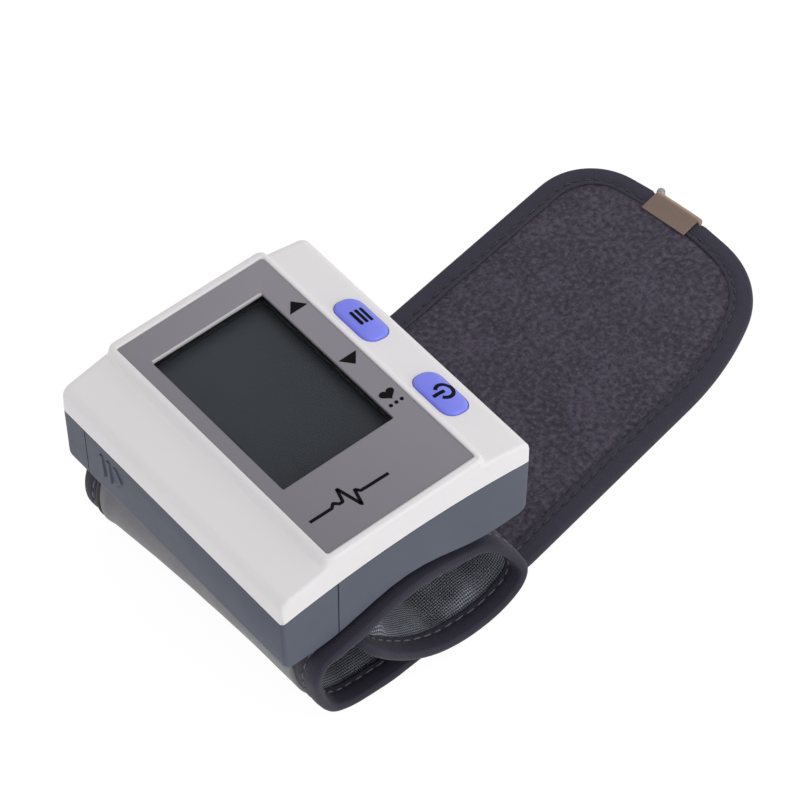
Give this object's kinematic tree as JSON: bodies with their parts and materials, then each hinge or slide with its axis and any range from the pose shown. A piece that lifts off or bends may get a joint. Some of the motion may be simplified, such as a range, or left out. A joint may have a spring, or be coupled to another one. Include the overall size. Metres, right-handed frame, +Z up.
{
  "type": "wrist blood pressure monitor",
  "caption": "Wrist blood pressure monitor: display housing with two keys and a sliding battery cover on a fabric cuff that curls into a loop and ends in a flat tongue.",
  "frame": {"origin": "on the table, under the middle of the housing, on the flat underside of the cuff", "axes": "+X to the reader's right and out along the tongue, +Y up the display as it is read, +Z up from the table"},
  "size_m": [0.1709, 0.091, 0.0578],
  "materials": {
    "white_shell": "satin warm white",
    "grey_shell": "satin slate grey",
    "display_panel": "satin grey",
    "clear_lens": "clear",
    "display_glass": "dark grey, still",
    "black_plastic": "satin black",
    "blue_key": "satin periwinkle blue",
    "board_green": "satin green",
    "steel": "bright",
    "cell_wrap": "plain sleeve",
    "pump_plastic": "satin ivory",
    "black_rubber": "matt",
    "silicone": "milky",
    "cuff_cloth": "brushed loop cloth with bound edges",
    "label_cloth": "smooth coated cloth",
    "hook_tape": "hook tape",
    "tan_tape": "woven tape"
  },
  "bodies": {
    "monitor": {"upper_shell": "white_shell", "lower_shell": "grey_shell", "display_panel": "display_panel", "display_lens": "clear_lens", "lcd_glass": "display_glass", "lcd_holder": "black_plastic", "memory_switch": "black_plastic", "power_switch": "black_plastic", "main_chip": "black_plastic", "buzzer": "black_plastic", "pressure_sensor": "black_plastic", "circuit_board": "board_green", "contact_spring_lower": "steel", "contact_spring_upper": "steel", "contact_plate_front": "steel", "contact_plate_lower": "steel", "contact_plate_upper": "steel", "case_screw_1": "steel", "case_screw_2": "steel", "case_screw_3": "steel", "case_screw_4": "steel", "pump_motor": "steel", "exhaust_valve": "steel", "cell_lower": "cell_wrap", "cell_upper": "cell_wrap", "pump_case": "pump_plastic", "pump_head": "pump_plastic", "air_manifold": "pump_plastic", "cuff_curler": "pump_plastic", "contact_strip_front": "black_rubber", "contact_strip_back": "black_rubber", "pump_diaphragm": "black_rubber", "air_bladder": "black_rubber", "pump_tube": "silicone", "sensor_tube": "silicone", "valve_tube": "silicone", "cuff_bottom": "cuff_cloth", "cuff_left_curl": "cuff_cloth", "cuff_sleeve": "cuff_cloth", "cuff_right_curl": "cuff_cloth", "cuff_flap": "cuff_cloth", "cuff_label": "label_cloth", "hook_patch": "hook_tape"},
    "memory_key": {"memory_button": "blue_key", "memory_plunger": "black_plastic"},
    "power_key": {"power_button": "blue_key", "power_plunger": "black_plastic"},
    "cover": {"battery_cover": "grey_shell"},
    "rotor": {"pump_rotor": "steel"},
    "valve_pin": {"valve_plunger": "steel"},
    "tongue": {"cuff_tongue": "cuff_cloth", "tip_tab": "tan_tape", "tab_pin": "steel"}
  },
  "joints": [
    {"name": "memory_key_press", "type": "slide", "parent": "monitor", "child": "memory_key", "axis": [0, 0, -1], "range_m": [0, 0.0005], "stiffness_N_per_m": 1500, "springref_m": -0.0003},
    {"name": "power_key_press", "type": "slide", "parent": "monitor", "child": "power_key", "axis": [0, 0, -1], "range_m": [0, 0.0005], "stiffness_N_per_m": 1500, "springref_m": -0.0003},
    {"name": "cover_slide", "type": "slide", "parent": "monitor", "child": "cover", "axis": [0, -1, 0], "range_m": [0, 0.07]},
    {"name": "rotor_spin", "type": "hinge", "parent": "monitor", "child": "rotor", "pos_m": [-0.01, -0.0236, 0.0415], "axis": [1, 0, 0], "continuous": true},
    {"name": "valve_stroke", "type": "slide", "parent": "monitor", "child": "valve_pin", "axis": [0, 0, 1], "range_m": [0, 0.0008], "stiffness_N_per_m": 200, "springref_m": -0.0005},
    {"name": "tongue_fold", "type": "hinge", "parent": "monitor", "child": "tongue", "pos_m": [0.038, 0, 0.0015], "axis": [0, -1, 0], "range_deg": [0, 85]}
  ]
}
